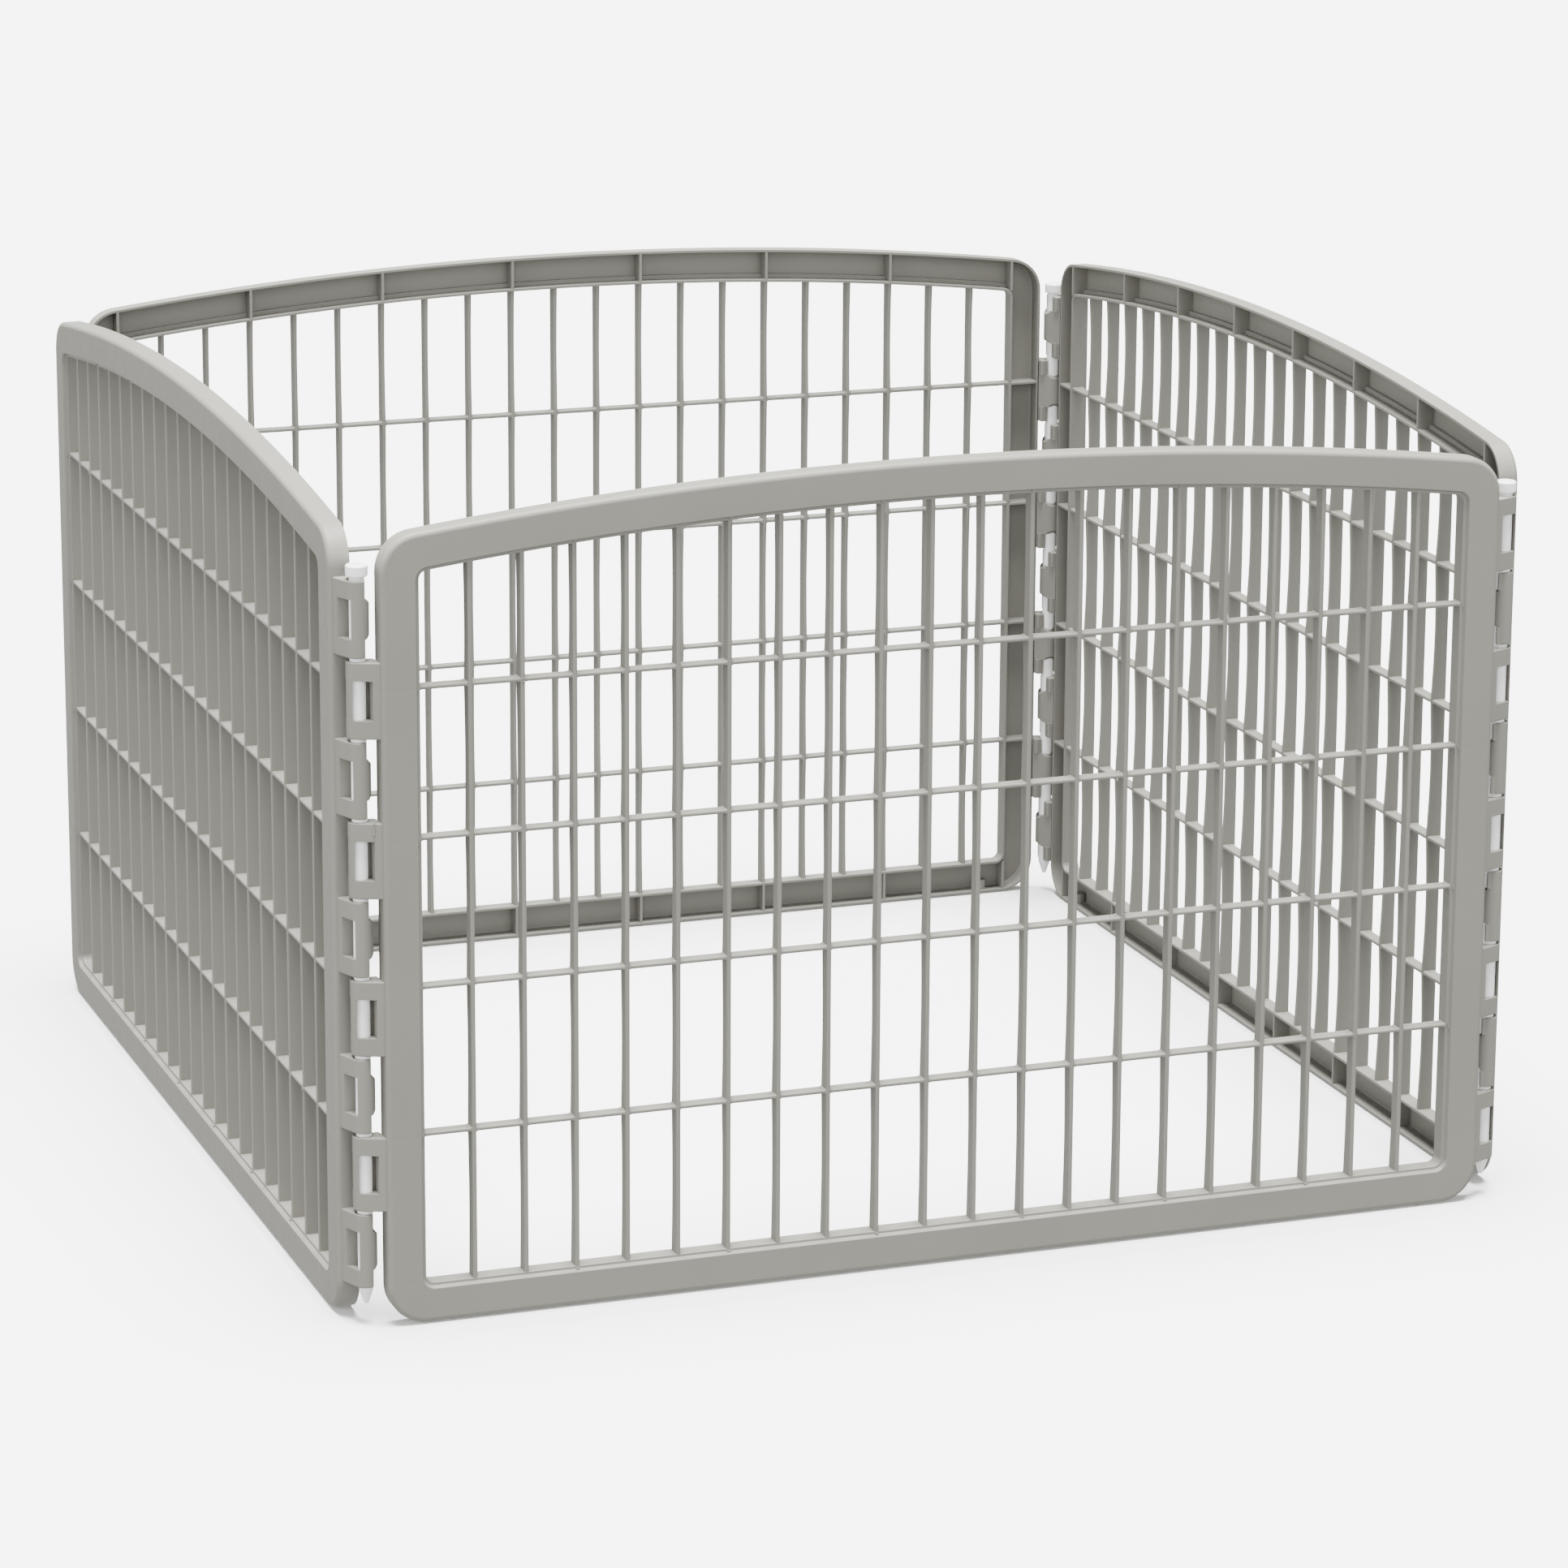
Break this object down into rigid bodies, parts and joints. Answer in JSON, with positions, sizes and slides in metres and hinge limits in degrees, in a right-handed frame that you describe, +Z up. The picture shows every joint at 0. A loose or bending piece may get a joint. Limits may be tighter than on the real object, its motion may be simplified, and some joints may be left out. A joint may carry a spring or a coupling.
{
  "type": "pet playpen",
  "caption": "Square pet playpen of moulded plastic grille panels with arched tops, hinged at the corners on drop-in pins so that it folds flat.",
  "frame": {"origin": "on the floor, at the middle of the square pen", "axes": "+Z up; -Y faces out of the front panel and +X out of the right panel, as seen from in front; each panel's outer face looks out of the pen"},
  "size_m": [0.8982, 0.8982, 0.592],
  "materials": {
    "panel": "satin moulded plastic, warm grey",
    "hinge_pin": "smooth white plastic",
    "foot": "matt grey rubber"
  },
  "bodies": {
    "front_side": {"panel_front": "panel", "foot_front_left": "foot", "foot_front_right": "foot"},
    "right_side": {"panel_right": "panel", "foot_right_front": "foot", "foot_right_rear": "foot"},
    "rear_side": {"panel_rear": "panel", "foot_rear_right": "foot", "foot_rear_left": "foot"},
    "left_side": {"panel_left": "panel", "foot_left_rear": "foot", "foot_left_front": "foot"},
    "front_right_pin": {"hinge_pin_front_right": "hinge_pin"},
    "rear_right_pin": {"hinge_pin_rear_right": "hinge_pin"},
    "rear_left_pin": {"hinge_pin_rear_left": "hinge_pin"},
    "front_left_pin": {"hinge_pin_front_left": "hinge_pin"}
  },
  "joints": [
    {"name": "fold", "type": "hinge", "parent": "front_side", "child": "right_side", "pos_m": [0.43205, -0.43205, 0.3], "axis": [0, 0, 1], "range_deg": [-88, 88]},
    {"name": "fold_left", "type": "hinge", "parent": "front_side", "child": "left_side", "pos_m": [-0.43205, -0.43205, 0.3], "axis": [0, 0, 1], "range_deg": [-88, 88]},
    {"name": "fold_rear", "type": "hinge", "parent": "right_side", "child": "rear_side", "pos_m": [0.43205, 0.43205, 0.3], "axis": [0, 0, 1], "range_deg": [-88, 88]},
    {"name": "pull_front_right_pin", "type": "slide", "parent": "front_side", "child": "front_right_pin", "axis": [0, 0, 1], "range_m": [0, 0.52]},
    {"name": "pull_rear_right_pin", "type": "slide", "parent": "right_side", "child": "rear_right_pin", "axis": [0, 0, 1], "range_m": [0, 0.52]},
    {"name": "pull_rear_left_pin", "type": "slide", "parent": "rear_side", "child": "rear_left_pin", "axis": [0, 0, 1], "range_m": [0, 0.52]},
    {"name": "pull_front_left_pin", "type": "slide", "parent": "left_side", "child": "front_left_pin", "axis": [0, 0, 1], "range_m": [0, 0.52]}
  ],
  "couplings": [
    {"joint": "fold_left", "follows": "fold", "ratio": 1},
    {"joint": "fold_rear", "follows": "fold", "ratio": -1}
  ]
}
